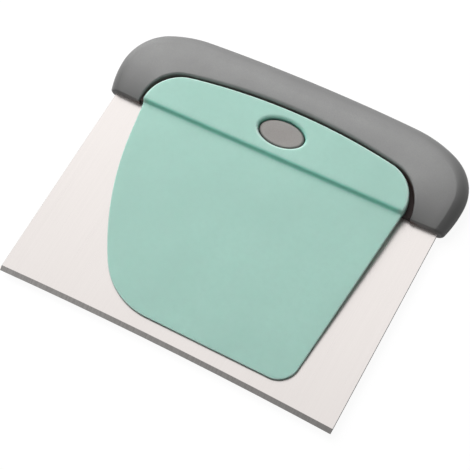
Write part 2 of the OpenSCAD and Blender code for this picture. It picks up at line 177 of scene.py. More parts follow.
class BowlScraperSizes(bpy.types.PropertyGroup):
    """Sizes of the flexible scraper."""

    step: size("Step height", 89.4, "Distance from the edge's corners to the step")
    grip_rise: size("Grip rise", 22, "Height of the grip from the step to its arch")
    grip_arch: size("Grip arch", 262, "Radius of the arch along the grip's top")
    grip_corner: size("Grip corner", 16.5, "Radius of the grip's corners")
    grip_edge: size("Grip edge", 1.2, "Radius round the grip's face")
    blade_edge: size("Blade edge", 0.45, "Radius round the flexible blade's face")
    under_edge: size("Under edge", 0.3, "Radius round the underside")
    step_round: size("Step round", 1.2, "Radius over the top of the step")
    step_fillet: size("Step fillet", 0.9, "Radius at the foot of the step")
    root: size("Root thickness", 2, "Thickness of the flexible blade at the step")
    edge: size("Edge thickness", 1, "Thickness of the flexible blade at its edge")
    tip: size("Tip height", 6.7, "Distance from the steel's edge to the working edge")
    tip_corner: size("Tip corner", 8.8, "Radius of the corner at the straight side")
    heel_corner: size("Heel corner", 31, "Radius of the corner at the curved side")
    bowl: size("Bowl radius", 133, "Radius of the long curved side")
    inset: size("Root inset", 0.5, "Inset of the flexible blade from the grip's sides")
    hole_round: size("Hole round", 1.5, "Rounding of the hole's rim")
    hole_fit: size("Hole fit", 0.35, "Clearance between the stud and the hole")
    spacing: size("Mesh spacing", 1.5, "Distance between points over the flat faces")
    straight_lean: angle("Straight lean", 5.4, "Lean of the straight side")
    heel_turn: angle("Heel turn", 56, "Angle that the heel's corner turns through")
    bowl_lean: angle("Bowl lean", 8.8, "Lean of the curved side at the step")


class StudSizes(bpy.types.PropertyGroup):
    """Sizes of the oval stud."""

    rise: size("Centre height", 10.4, "Distance from the legs' ends to the stud's centre")
    rim: size("Rim radius", 1, "Radius round the stud's top")
    peg: size("Peg diameter", 4, "Diameter of the two pegs")
    pitch: size("Peg distance", 9, "Distance between the pegs")
    panel: size("Panel height", 7, "Height of the panel that carries the stud")


class Finishes(bpy.types.PropertyGroup):
    """Colours of the finishes."""

    grey: tint("Soft grey", 0.612, 0.612, 0.61, "Soft grip")
    stud_grey: tint("Stud grey", 0.605, 0.59, 0.58, "Stud")
    # Painted shade: the recess's wall is painted this dark brown
    recess: tint("Recess brown", 0.35, 0.23, 0.21, "Wall of the recess")
    dark: tint("Dark grey", 0.21, 0.175, 0.17, "Panel under the bowl scraper")
    green: tint("Sea green", 0.66, 0.82, 0.772, "Bowl scraper")
    # Painted shade: a more saturated green in the bowl scraper's folds, and, much darker, on the
    # lower parts of its sides
    deep: tint("Deep green", 0.64, 0.91, 0.845, "Folds of the bowl scraper")
    # Painted highlight along the bowl scraper's top edges and the hole's lower rim
    pale: tint("Pale green", 0.80, 0.91, 0.875, "Edges of the bowl scraper")
    steel: tint("Steel", 0.787, 0.767, 0.757, "Steel blade")
    # The bevel's grinding finish, darkened further as painted shade; the sheet's sides take this
    # colour far darker, as painted shade
    ground_steel_and_shade: tint("Ground steel", 0.56, 0.55, 0.543, "Bevel and sides of the steel blade")
    rivet: tint("Rivet steel", 0.78, 0.78, 0.79, "Rivets")


class StageSizes(bpy.types.PropertyGroup):
    """Camera and light."""

    focal: bpy.props.FloatProperty(
        name="Focal length", description="On a 36 mm sensor", default=105.15, unit="CAMERA"
    )
    key: bpy.props.FloatProperty(
        name="Key light",
        description="Power of the soft light on the left",
        default=12.6,
        unit="POWER",
    )
    sheen: bpy.props.FloatProperty(
        name="Sheen light",
        description="Power of the light seen in the steel",
        default=2.1,
        unit="POWER",
    )
    fill: bpy.props.FloatProperty(
        name="Fill", description="Strength of the light from all round", default=0.07, min=0.0
    )
    floor_half: size("Floor", 3000, "Half the width of the floor")


# Node trees


class Wire:
    """One output of a node, which adds Math nodes when it is used in a sum."""

    def __init__(self, tree, socket):
        self.tree = tree
        self.socket = socket

    def other(self, name):
        """Another output of the same node."""
        return Wire(self.tree, self.socket.node.outputs[name])

    def maths(self, operation, *values):
        return self.tree.add("ShaderNodeMath", {"operation": operation}, dict(enumerate(values)))

    def __add__(self, value):
        return self.maths("ADD", self, value)

    __radd__ = __add__

    def __sub__(self, value):
        return self.maths("SUBTRACT", self, value)

    def __rsub__(self, value):
        return self.maths("SUBTRACT", value, self)

    def __mul__(self, value):
        return self.maths("MULTIPLY", self, value)

    __rmul__ = __mul__

    def __truediv__(self, value):
        return self.maths("DIVIDE", self, value)

    def __rtruediv__(self, value):
        return self.maths("DIVIDE", value, self)

    def __pow__(self, value):
        return self.maths("POWER", self, value)

    def __gt__(self, value):
        return self.maths("GREATER_THAN", self, value)

    def __lt__(self, value):
        return self.maths("LESS_THAN", self, value)

    def sine(self):
        return self.maths("SINE", self)

    def cosine(self):
        return self.maths("COSINE", self)

    def root(self):
        return self.maths("SQRT", self)

    def least(self, value):
        return self.maths("MINIMUM", self, value)

    def most(self, value):
        return self.maths("MAXIMUM", self, value)

    def ramp(self, low, high):
        """0 at low and 1 at high, straight between them."""
        return self.tree.add(
            "ShaderNodeMapRange",
            {"clamp": True},
            {"Value": self, "From Min": low, "From Max": high},
        )

    def ease(self, low, high):
        """0 at low and 1 at high, smooth between them."""
        return self.tree.add(
            "ShaderNodeMapRange",
            {"clamp": True, "interpolation_type": "SMOOTHSTEP"},
            {"Value": self, "From Min": low, "From Max": high},
        )


class Tree:
    """Adds nodes to one node tree."""

    COLUMNS = 14

    def __init__(self, tree):
        self.tree = tree
        tree.nodes.clear()

    def add(self, kind, settings=None, inputs=None, output=0):
        """Adds a node of that type, with its settings and then its inputs' values or links."""
        node = self.tree.nodes.new(kind)
        count = len(self.tree.nodes)
        node.location = (190 * (count % self.COLUMNS), -230 * (count // self.COLUMNS))
        for name, value in (settings or {}).items():
            if name == "stops":
                stops = node.color_ramp.elements
                while len(stops) < len(value):
                    stops.new(0.5)
                for stop, (place, colour) in zip(stops, value):
                    stop.position = place
                    stop.color = (*colour, 1.0)
            else:
                setattr(node, name, value)
        for name, value in (inputs or {}).items():
            socket = node.inputs[name]
            if isinstance(value, Wire):
                self.tree.links.new(value.socket, socket)
            else:
                socket.default_value = value
        return Wire(self, node.outputs[output]) if node.outputs else Wire(self, None)

    def blend(self, share, first, second):
        """Colour between first and second, by the share of the second."""
        return self.add(
            "ShaderNodeMix",
            {"data_type": "RGBA"},
            {0: share, 6: first, 7: second},
            output=2,
        )


def noise(tree, place, scale, detail, roughness=0.5):
    """A noise texture's value at that place."""
    return tree.add(
        "ShaderNodeTexNoise",
        None,
        {"Vector": place, "Scale": scale, "Detail": detail, "Roughness": roughness},
    )


def mesh_tone(tree, name):
    """A tone from 0 to 1 that was stored on the mesh."""
    return tree.add("ShaderNodeAttribute", {"attribute_name": name}, None, "Fac")


def linear(colour, gain=1.0):
    """Colour as light, from a colour as it looks on a screen."""
    return tuple(
        gain * (c / 12.92 if c <= 0.04045 else ((c + 0.055) / 1.055) ** 2.4) for c in colour
    ) + (1.0,)


def new_finish(name):
    """An empty material with its tree."""
    material = bpy.data.materials.new(name)
    material.use_nodes = True
    return material, Tree(material.node_tree)


def close_finish(tree, shader):
    tree.add("ShaderNodeOutputMaterial", None, {"Surface": shader})


def soft_grey_finish(name, colour, roughness=0.45, wall=None, oval=None):
    """Matt rubbery grey with a cloudy grain. With wall, painted light and shade: paler on top and on
    the legs' outer flanks, darker underneath, down the legs and round their ends, a dark band along
    the legs' flanks, and the recess's wall painted dark brown as shade. With oval, a painted dark
    ring of shade round the stud's rim.
    """
    material, tree = new_finish(name)
    place = tree.add("ShaderNodeTexCoord", None, None, "Object")
    cloud = noise(tree, place, 90.0, 4.0, 0.6)
    grain = noise(tree, place, 2600.0, 3.0, 0.7)
    patch = noise(tree, place, 22.0, 2.0)
    pale = linear(colour, 1.09)
    deep = linear(colour, 0.91)
    mottle = cloud.ramp(0.3, 0.7) * 0.6 + patch.ramp(0.3, 0.7) * 0.4
    base = tree.blend(mottle, deep, pale)
    fine = tree.blend(grain.ramp(0.35, 0.65) * 0.5, base, linear(colour, 0.82))
    if wall:
        # Painted light and shade: the grip keeps its colour on top and is painted darker underneath,
        # down the legs and round their ends
        handled = mesh_tone(tree, "handled")
        depth = mesh_tone(tree, "wall")
        fine = tree.blend(handled, tree.blend(0.8, fine, linear(colour, 0.46)), fine)
        # Painted shade: a dark band along the legs' flanks
        crease = mesh_tone(tree, "crease")
        fine = tree.blend(crease * 0.38, fine, linear(colour, 0.2))
        # Painted shade: the recess's wall is painted dark brown
        fine = tree.blend(depth, fine, linear(wall))
    if oval:
        x, y, half_x, half_y = oval
        spot = tree.add("ShaderNodeSeparateXYZ", None, {0: place})
        reach = (((spot - x) / half_x) ** 2 + ((spot.other("Y") - y) / half_y) ** 2).root()
        # Painted shade: a dark ring round the stud's rim
        fine = tree.blend(reach.ease(0.86, 1.0), fine, linear(colour, 0.3))
    bump = tree.add(
        "ShaderNodeBump",
        None,
        {"Strength": 0.14, "Distance": 0.1 * MM, "Height": grain + cloud * 0.6},
    )
    shader = tree.add(
        "ShaderNodeBsdfPrincipled",
        None,
        {
            "Base Color": fine,
            "Roughness": roughness + (cloud.ramp(0.3, 0.7) - 0.5) * 0.1,
            "Specular IOR Level": 0.2,
            "Normal": bump,
        },
    )
    close_finish(tree, shader)
    return material


def sea_green_finish(name, colour, deep, pale):
    """Satin moulded plastic, faintly cloudy, with painted shade in its folds and on the lower parts
    of its right and front sides, and painted highlights along its top edges and the hole's lower rim.
    """
    material, tree = new_finish(name)
    place = tree.add("ShaderNodeTexCoord", None, None, "Object")
    cloud = noise(tree, place, 32.0, 5.0, 0.55)
    fleck = noise(tree, place, 420.0, 3.0, 0.6)
    grain = noise(tree, place, 3000.0, 2.0)
    base = tree.blend(cloud.ramp(0.32, 0.68), linear(colour, 0.965), linear(colour, 1.03))
    fine = tree.blend(fleck.ramp(0.4, 0.7) * 0.3, base, linear(colour, 0.93))
    # Painted shade: a deeper, more saturated green in the folds
    fold = mesh_tone(tree, "fold")
    # Painted highlight: a pale green along the edges
    rim = mesh_tone(tree, "edge")
    fine = tree.blend(fold * (0.85 + cloud * 0.3), fine, linear(deep))
    fine = tree.blend(rim * (0.65 + fleck * 0.3), fine, linear(pale))
    # Painted shade: a very dark green on the lower parts of the sides that face right and to the
    # front
    under = mesh_tone(tree, "under")
    fine = tree.blend(under, fine, linear(deep, 0.06))
    bump = tree.add(
        "ShaderNodeBump",
        None,
        {"Strength": 0.06, "Distance": 0.1 * MM, "Height": grain + fleck * 0.8},
    )
    shader = tree.add(
        "ShaderNodeBsdfPrincipled",
        None,
        {
            "Base Color": fine,
            "Roughness": 0.42 + (fleck - 0.5) * 0.12,
            "Specular IOR Level": 0.45,
            "Subsurface Weight": 0.35,
            "Subsurface Radius": (0.6, 1.0, 0.85),
            "Subsurface Scale": 0.002,
            "Normal": bump,
        },
    )
    close_finish(tree, shader)
    return material


def brushed_steel_finish(name, colour, roughness=0.3, ground_steel_and_shade=None):
    """Brushed steel. With ground_steel_and_shade, a sheet whose bevel has grinding marks and is
    darkened by painted shade, whose sides are painted near black as painted shade, and which darkens
    to the lower right as a painted reflection."""
    material, tree = new_finish(name)
    place = tree.add("ShaderNodeTexCoord", None, None, "Object")
    stretched = tree.add("ShaderNodeMapping", None, {"Vector": place, "Scale": (900.0, 6.0, 60.0)})
    lines = noise(tree, stretched, 3.0, 5.0, 0.7)
    broad = noise(tree, place, 18.0, 3.0)
    share = lines.ramp(0.25, 0.75) * 0.8 + broad.ramp(0.3, 0.7) * 0.2
    base = tree.blend(share, linear(colour, 0.95), linear(colour, 1.035))
    metallic = 1.0
    roughness = roughness + (lines - 0.5) * 0.16
    if ground_steel_and_shade:
        spot = tree.add("ShaderNodeSeparateXYZ", None, {0: place})
        across = spot.ramp(BLADE_LOW.x, BLADE_HIGH.x)
        rise = spot.other("Y").ramp(BLADE_LOW.y, BLADE_LOW.y + FACE_LENGTH)
        # Painted reflection: the sheet darkens towards its working edge and its right side
        painted_reflection_fall = 0.64 * (1 - rise) + 0.36 * across
        brightly_reflecting = tree.blend(share, linear(colour, 1.01), linear(colour, 1.11))
        dimly_reflecting = tree.blend(share, linear(colour, 0.845), linear(colour, 0.945))
        base = tree.blend(painted_reflection_fall, brightly_reflecting, dimly_reflecting)
        depth = FACE_Z - spot.other("Z")
        bevel = depth.ramp(0.005 * MM, 0.02 * MM) * (depth < FACE_Z - BLADE_LOW.z - 0.01 * MM)
        slanted = tree.add(
            "ShaderNodeMapping",
            None,
            {"Vector": place, "Rotation": (0.0, 0.0, 0.5), "Scale": (2000.0, 200.0, 60.0)},
        )
        marks = noise(tree, slanted, 1.1, 2.0)
        # The bevel's grinding marks, on a colour darkened as painted shade
        bevel_ground_and_shade = tree.blend(marks.ramp(0.35, 0.65), linear(ground_steel_and_shade, 0.92), linear(ground_steel_and_shade, 1.12))
        # Painted shade: the bevel darkens towards the right
        bevel_ground_and_shade = tree.blend(across, bevel_ground_and_shade, tree.blend(0.45, bevel_ground_and_shade, linear(ground_steel_and_shade, 0.36)))
        base = tree.blend(bevel, base, bevel_ground_and_shade)
        # Painted shade: the sheet's sides are painted near black, and are not metallic
        side = spot.maths("ABSOLUTE", spot) > BLADE_HIGH.x - 0.02 * MM
        base = tree.blend(side, base, linear(ground_steel_and_shade, 0.12))
        metallic = 1 - side
        roughness = roughness + side * 0.5
    bump = tree.add(
        "ShaderNodeBump", None, {"Strength": 0.05, "Distance": 0.00005, "Height": lines}
    )
    shader = tree.add(
        "ShaderNodeBsdfPrincipled",
        None,
        {
            "Base Color": base,
            "Metallic": metallic,
            "Roughness": roughness,
            "Normal": bump,
        },
    )
    close_finish(tree, shader)
    return material


# Outlines, in the drawing's own place


def arcs(centre, chain, start=0.0, error=0.003 * MM):
    """Points along tangent arcs (radius, angle at the end), clockwise from +Y."""
    points = []
    x, y = centre
    for place, (radius, stop) in enumerate(chain):
        step = 2 * math.acos(1 - error / radius)
        steps = max(2, math.ceil(abs(stop - start) / step))
        last = place == len(chain) - 1
        for k in range(steps + 1 if last else steps):
            turn = start + (stop - start) * k / steps
            points.append(Vector((x + radius * math.sin(turn), y + radius * math.cos(turn))))
        if not last:
            shift = radius - chain[place + 1][0]
            x += shift * math.sin(stop)
            y += shift * math.cos(stop)
        start = stop
    return points


def both_halves(half):
    """Left to right path from its right half, which starts at the crown."""
    return [Vector((-p.x, p.y)) for p in reversed(half[1:])] + half


def arch_half(half, top, radius, corner):
    """Right half of an arch with round corners and upright sides."""
    stop = math.asin((half - corner) / (radius - corner))
    return arcs((0, top - radius), [(radius, stop), (corner, math.pi / 2)])


def handle_paths(sizes, scraper):
    """Left to right along the outside of the handle and along the wall of the recess."""
    half = GRIP_HIGH.x
    top = sizes.foot + sizes.rise
    arch_end = math.asin((half - sizes.shoulder_run) / sizes.arch)
    shoulder_end = math.asin(
        (sizes.shoulder_run + sizes.shoulder * math.sin(arch_end) - sizes.corner)
        / (sizes.shoulder - sizes.corner)
    )
    widest = (
        top
        - sizes.arch * (1 - math.cos(arch_end))
        - sizes.shoulder * (math.cos(arch_end) - math.cos(shoulder_end))
        - sizes.corner * math.cos(shoulder_end)
    )
    side_end = math.pi / 2 + math.asin((widest - sizes.foot) / sizes.side)
    outer = both_halves(
        arcs(
            (0, top - sizes.arch),
            [
                (sizes.arch, arch_end),
                (sizes.shoulder, shoulder_end),
                (sizes.corner, math.pi / 2),
                (sizes.side, side_end),
            ],
        )
    )
    recess_half = GREEN_HIGH.x + sizes.side_gap
    recess_top = scraper.step + scraper.grip_rise + sizes.top_gap
    right = arch_half(
        recess_half, recess_top, scraper.grip_arch + sizes.top_gap, sizes.recess_corner
    )
    inner = both_halves(right + [Vector((recess_half, sizes.foot))])
    return outer, inner


def placed(x, y, z):
    """Point of the drawing on the set's own frame."""
    return Vector((x, y + EDGE_Y, z))


def path_length(path):
    return sum((b - a).length for a, b in zip(path, path[1:]))


def new_piece(name, verts, faces, material, crease=35.0):
    """A smooth mesh piece with its sharp edges kept."""
    mesh = bpy.data.meshes.new(name)
    mesh.from_pydata([tuple(v) for v in verts], [], faces)
    mesh.validate()
    work = bmesh.new()
    work.from_mesh(mesh)
    bmesh.ops.remove_doubles(work, verts=work.verts, dist=2e-6)
    bmesh.ops.dissolve_degenerate(work, edges=work.edges, dist=1e-7)
    bmesh.ops.recalc_face_normals(work, faces=work.faces)
    work.to_mesh(mesh)
    work.free()
    mesh.shade_smooth()
    mesh.set_sharp_from_angle(angle=math.radians(crease))
    mesh.materials.append(material)
    piece = bpy.data.objects.new(name, mesh)
    bpy.context.scene.collection.objects.link(piece)
    return piece


# The soft grip, by Geometry Nodes


def handle_tree(material):
    """Tree that sweeps the grip's changing section along its two paths."""
    group = bpy.data.node_groups.new("soft_grip_sweep", "GeometryNodeTree")
    tree = Tree(group)
    group.interface.new_socket("Geometry", in_out="INPUT", socket_type="NodeSocketGeometry")
    for name in (
        "Crown height",
        "Leg height",
        "Widest height",
        "Widest fall",
        "Side fall",
        "Rim fall",
        "Ridge",
        "Foot",
        "Arch roll",
        "Leg roll",
        "Roll fall",
        "Flank",
        "Back roll",
        "Rim radius",
        "Leg rim radius",
        "End radius",
        "Path length",
    ):
        socket = group.interface.new_socket(name, in_out="INPUT", socket_type="NodeSocketFloat")
        socket.subtype = "FACTOR" if name == "Flank" else "DISTANCE"
    group.interface.new_socket("Stations", in_out="INPUT", socket_type="NodeSocketInt")
    group.interface.new_socket("Geometry", in_out="OUTPUT", socket_type="NodeSocketGeometry")
    given = tree.add("NodeGroupInput")
    sections = 129
    count = given.other("Stations")
    grid = tree.add(
        "GeometryNodeMeshGrid",
        None,
        {"Size X": 1.0, "Size Y": 1.0, "Vertices X": count, "Vertices Y": sections},
    )
    curves = tree.add("GeometryNodeMeshToCurve", None, {0: given})
    here = tree.add("ShaderNodeSeparateXYZ", None, {0: tree.add("GeometryNodeInputPosition")})
    station = (here + 0.5) * (count - 1)
    along = ((station - 1) / (count - 3)).most(0.0).least(1.0)
    factor = along - (along * (2 * math.pi)).sine() * (0.9 / (2 * math.pi))
    around = (here.other("Y") + 0.5) * SECTION_STOP

    def sample(index, output="Position"):
        return tree.add(
            "GeometryNodeSampleCurve",
            {"mode": "FACTOR"},
            {"Curves": curves, "Factor": factor, "Curve Index": index},
            output,
        )

    outer = sample(0)
    inner = sample(1)
    lean = tree.add("ShaderNodeSeparateXYZ", None, {0: sample(0, "Tangent")}) ** 2
    width = tree.add(
        "ShaderNodeVectorMath", {"operation": "DISTANCE"}, {0: outer, 1: inner}, "Value"
    )
    outer_y = tree.add("ShaderNodeSeparateXYZ", None, {0: outer}).other("Y")
    inner_y = tree.add("ShaderNodeSeparateXYZ", None, {0: inner}).other("Y")
    ridge = given.other("Ridge")
    crown = given.other("Crown height")

    def down(y):
        return ((ridge - y) / (ridge - given.other("Foot"))).most(0.0)

    def face_height(y):
        return crown - (crown - given.other("Leg height")) * down(y) ** 2

    low = down(outer_y) ** 3
    widest = given.other("Widest height") - given.other("Widest fall") * low
    back_roll = given.other("Back roll")
    leg_rim = given.other("Leg rim radius")
    leg_roll = given.other("Leg roll")
    rim = leg_rim + (given.other("Rim radius") - leg_rim) * lean
    roll = (leg_roll + (given.other("Arch roll") - leg_roll) * lean).least(width - 2 * rim)
    roll = roll - given.other("Roll fall") * low
    face = width - rim - roll

    def stage(first, last):
        return around.ramp(first, last)

    quarter = math.pi / 2
    back = stage(0, BACK_STOP)
    under = stage(BACK_STOP, WIDEST) * quarter
    over = stage(WIDEST, ROLL_STOP) * quarter
    even = given.other("Flank") + (1 - given.other("Flank")) * lean
    turn = stage(FACE_STOP, RIM_STOP) * quarter
    inset = (
        width
        - back * (width - back_roll)
        - back_roll * under.sine()
        + roll * (1 - over.cosine().most(0.0) ** even)
        + stage(ROLL_STOP, FACE_STOP) * face
        + rim * turn.sine()
    )
    side_fall = given.other("Side fall") * (1 - lean) * (1 - low)
    rim_fall = given.other("Rim fall") * lean
    top = (
        face_height(outer_y + (inner_y - outer_y) * inset / width)
        - side_fall * (1 - inset / width) ** 2
        - rim_fall * ((inset - roll) / (width - roll)).most(0.0) ** 2
    )
    height = (
        widest * (1 - under.cosine())
        + (top - widest) * over.sine() ** even
        - rim * (1 - turn.cosine())
        - stage(RIM_STOP, SECTION_STOP) * (top - rim)
    )
    middle = face_height((outer_y + inner_y) / 2) / 2
    end = given.other("End radius")
    length = given.other("Path length")
    gap = (end - factor.least(1 - factor) * length).most(0.0)
    drawn_in = end - (end * end - gap * gap).most(0.0).root()
    open_end = (station > 0.5) * (station < count - 1.5)
    across = (1 - 2 * drawn_in / width) * open_end
    upright = (1 - drawn_in / middle) * open_end
    inset = width / 2 + (inset - width / 2) * across
    height = middle + (height - middle) * upright
    plan = tree.add(
        "ShaderNodeMix", {"data_type": "VECTOR"}, {0: inset / width, 4: outer, 5: inner}, output=1
    )
    lift = tree.add("ShaderNodeCombineXYZ", None, {"Z": height})
    spot = tree.add("ShaderNodeVectorMath", {"operation": "ADD"}, {0: plan, 1: lift})
    # Painted light and shade: 1 where the grip keeps its colour on top, down to 0 where it is painted
    # darker underneath and down the legs
    handled = around.ease(23, 39) * (1 - 1.1 * down(outer_y) ** 1.7).most(0.0)
    # Tones that stand in for the photograph's light: they stay put when the set is turned
    legs = down(outer_y).ease(0.25, 0.9)
    # Painted light: the legs' outer flanks are painted less dark
    handled = handled.most(legs * (1 - around.ease(17, 26)) * 0.9)
    # Painted shade round the legs' ends
    handled = handled * (1 - (drawn_in / end).ease(0.1, 1.0))
    # Painted shade: a dark band along the legs' flanks
    crease = legs * around.ease(20, 28) * (1 - around.ease(32, 38))
    # Stores the painted light and shade, and marks the recess's wall for painted shade
    for name, value in (("handled", handled), ("crease", crease), ("wall", around.ease(55, 61))):
        grid = tree.add(
            "GeometryNodeStoreNamedAttribute",
            {"data_type": "FLOAT", "domain": "POINT"},
            {"Geometry": grid, "Name": name, "Value": value},
        )
    swept = tree.add("GeometryNodeSetPosition", None, {"Geometry": grid, "Position": spot})
    welded = tree.add(
        "GeometryNodeMergeByDistance", None, {"Geometry": swept, "Distance": 2e-6}
    )
    smooth = tree.add("GeometryNodeSetShadeSmooth", None, {"Geometry": welded})
    real = tree.add("GeometryNodeRealizeInstances", None, {"Geometry": smooth})
    done = tree.add("GeometryNodeSetMaterial", None, {"Geometry": real, "Material": material})
    tree.add("NodeGroupOutput", None, {0: done})
    return group


class SCRAPER_OT_handle(bpy.types.Operator):
    """Sweep the soft grip round the recess, from leg end to leg end"""

    bl_idname = "scraper.handle"
    bl_label = "Build soft grip"

    def execute(self, context):
        sizes = context.scene.scraper_handle
        finishes = context.scene.scraper_finishes
        outer, inner = handle_paths(sizes, context.scene.scraper_bowl)
        points = [placed(p.x, p.y, 0.0) for p in outer + inner]
        edges = [
            (k, k + 1) for k in range(len(points) - 1) if k != len(outer) - 1
        ]
        mesh = bpy.data.meshes.new("soft_handle_paths")
        mesh.from_pydata(points, edges, [])
        host = bpy.data.objects.new("soft_handle_paths", mesh)
        context.scene.collection.objects.link(host)
        # The recess brown goes on the recess's wall as painted shade, with the grip's other painted
        # light and shade
        material = soft_grey_finish("soft_grey", finishes.grey, wall=finishes.recess)
        modifier = host.modifiers.new("Sweep", "NODES")
        modifier.node_group = handle_tree(material)
        values = {
            "Crown height": GRIP_HIGH.z,
            "Leg height": sizes.leg_top,
            "Widest height": sizes.widest,
            "Widest fall": sizes.widest_fall,
            "Side fall": sizes.side_fall,
            "Rim fall": sizes.rim_fall,
            "Ridge": sizes.foot + sizes.rise - sizes.ridge_drop + EDGE_Y,
            "Foot": sizes.foot + EDGE_Y,
            "Arch roll": sizes.arch_roll,
            "Leg roll": sizes.leg_roll,
            "Roll fall": sizes.roll_fall,
            "Flank": sizes.flank,
            "Back roll": sizes.back_roll,
            "Rim radius": sizes.rim,
            "Leg rim radius": sizes.leg_rim,
            "End radius": sizes.end,
            "Path length": path_length(outer),
            "Stations": sizes.stations,
        }
        for item in modifier.node_group.interface.items_tree:
            if item.in_out == "INPUT" and item.name in values:
                modifier[item.identifier] = values[item.name]
        context.view_layer.update()
        ready = host.evaluated_get(context.evaluated_depsgraph_get())
        result = bpy.data.meshes.new_from_object(ready)
        if len(result.polygons) < 1000:
            raise RuntimeError("the soft grip came out empty")
        host.modifiers.clear()
        bpy.data.objects.remove(host)
        result.name = "soft_handle"
        work = bmesh.new()
        work.from_mesh(result)
        bmesh.ops.recalc_face_normals(work, faces=work.faces)
        work.to_mesh(result)
        work.free()
        result.set_sharp_from_angle(angle=math.radians(50))
        piece = bpy.data.objects.new("soft_handle", result)
        context.scene.collection.objects.link(piece)
        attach(piece, "bench_scraper")
        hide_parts("soft_grip")
        return {"FINISHED"}


# The bowl scraper


def offset(loop, inward):
    """Closed counterclockwise loop moved inwards, by one distance or one for each point."""
    count = len(loop)
    moved = []
    for k, point in enumerate(loop):
        tangent = (loop[(k + 1) % count] - loop[k - 1]).normalized()
        distance = inward[k] if isinstance(inward, list) else inward
        moved.append(point + Vector((-tangent.y, tangent.x)) * distance)
    return moved


def ease(value, low, high):
    """0 below low and 1 above high, smooth between them."""
    share = min(1.0, max(0.0, (value - low) / (high - low)))
    return share * share * (3 - 2 * share)


class BowlScraperShape:
    """Heights and outline of the bowl scraper, in the drawing's own place."""

    def __init__(self, sizes, grip_z, under_z, rest_z, edge_y):
        self.sizes = sizes
        self.grip_z = grip_z
        self.under_z = under_z
        self.rest_z = rest_z
        self.root_y = sizes.step - MM
        self.half = GREEN_HIGH.x

    def under(self, y):
        """Height of the underside."""
        s = self.sizes
        share = min(1.0, (y - s.tip) / (self.root_y - s.tip))
        return self.rest_z + (self.under_z - self.rest_z) * share

    def blade_face(self, y):
        """Height of the flexible blade's face."""
        s = self.sizes
        share = min(1.0, (y - s.tip) / (self.root_y - s.tip))
        low = self.rest_z + s.edge
        return low + (self.under_z + s.root - low) * share

    def step_rows(self):
        """Rows (y, share of the step's height) up the soft step."""
        s = self.sizes
        rise = self.grip_z - self.blade_face(self.root_y)
        fillet, over = s.step_fillet, s.step_round
        draft = 0.12 * MM
        start = s.step - fillet
        rows = []
        for k in range(9):
            a = math.radians(10 * k)
            rows.append((start + fillet * math.sin(a), fillet * (1 - math.cos(a)) / rise))
        for k in range(10):
            a = math.radians(10 * k)
            y = s.step + draft + over * (1 - math.cos(a))
            rows.append((y, 1 - over * (1 - math.sin(a)) / rise))
        return rows

    def face(self, y):
        """Height of the upper side, without its rounded edges."""
        rows = self.rows
        if y <= rows[0][0]:
            share = 0.0
        elif y >= rows[-1][0]:
            share = 1.0
        else:
            for (y0, a), (y1, b) in zip(rows, rows[1:]):
                if y <= y1:
                    share = a + (b - a) * (y - y0) / (y1 - y0)
                    break
        low = self.blade_face(y)
        return low + (self.grip_z - low) * share

    def outline(self):
        """Counterclockwise outline, from the right of the step round the grip and back."""
        s = self.sizes
        w = self.half - s.inset
        bowl = arcs(
            (0, 0),
            [(s.bowl, math.pi + s.heel_turn), (s.heel_corner, math.pi)],
            1.5 * math.pi - s.bowl_lean,
        )
        bowl_y = s.tip - bowl[-1].y
        bowl_x = -w - bowl[0].x + (self.root_y - bowl[0].y - bowl_y) * math.tan(s.bowl_lean)
        tip_stop = math.pi / 2 + s.straight_lean
        tip = arcs((0, s.tip + s.tip_corner), [(s.tip_corner, tip_stop)], math.pi)
        tip_x = w - tip[-1].x - (self.root_y - tip[-1].y) * math.tan(s.straight_lean)
        lower = [p + Vector((bowl_x, bowl_y)) for p in bowl] + [p + Vector((tip_x, 0)) for p in tip]
        right = arch_half(self.half, s.step + s.grip_rise, s.grip_arch, s.grip_corner)
        upper = list(reversed(both_halves(right)))
        side_start, side_stop = lower[-1], upper[0]
        loop = lower + self.side(side_start, side_stop, w)
        loop += upper + self.side(upper[-1], lower[0], -w)
        return self.thinned(loop)

    def side(self, start, stop, w):
        """Points up or down a side, easing over the step from the blade's width to the grip's."""
        s = self.sizes
        grip = math.copysign(self.half, w)
        low, high = (start, stop) if start.y < stop.y else (stop, start)
        points = []
        steps = math.ceil((high.y - low.y) / (0.4 * MM))
        for k in range(1, steps):
            y = low.y + (high.y - low.y) * k / steps
            share = ease(y, s.step - 1.2 * MM, s.step + 1.2 * MM)
            root = low.x + (w - low.x) * min(1.0, (y - low.y) / (self.root_y - low.y))
            points.append(Vector((root + (grip - root) * share, y)))
        return points if start.y < stop.y else list(reversed(points))

    def thinned(self, loop):
        """The loop with no two points closer than a set distance, and long gaps filled."""
        kept = []
        for point in loop:
            if not kept or (point - kept[-1]).length > 0.25 * MM:
                if kept:
                    gap = (point - kept[-1]).length
                    parts = max(1, math.ceil(gap / (0.8 * MM)))
                    start = kept[-1].copy()
                    for k in range(1, parts):
                        kept.append(start + (point - start) * k / parts)
                kept.append(point)
        while (kept[-1] - kept[0]).length < 0.25 * MM:
            kept.pop()
        return kept


def inside(loop, x, y):
    """Whether a point lies inside a loop."""
    count = 0
    for a, b in zip(loop, loop[1:] + loop[:1]):
        if (a.y > y) != (b.y > y) and x < a.x + (b.x - a.x) * (y - a.y) / (b.y - a.y):
            count += 1
    return count % 2 == 1


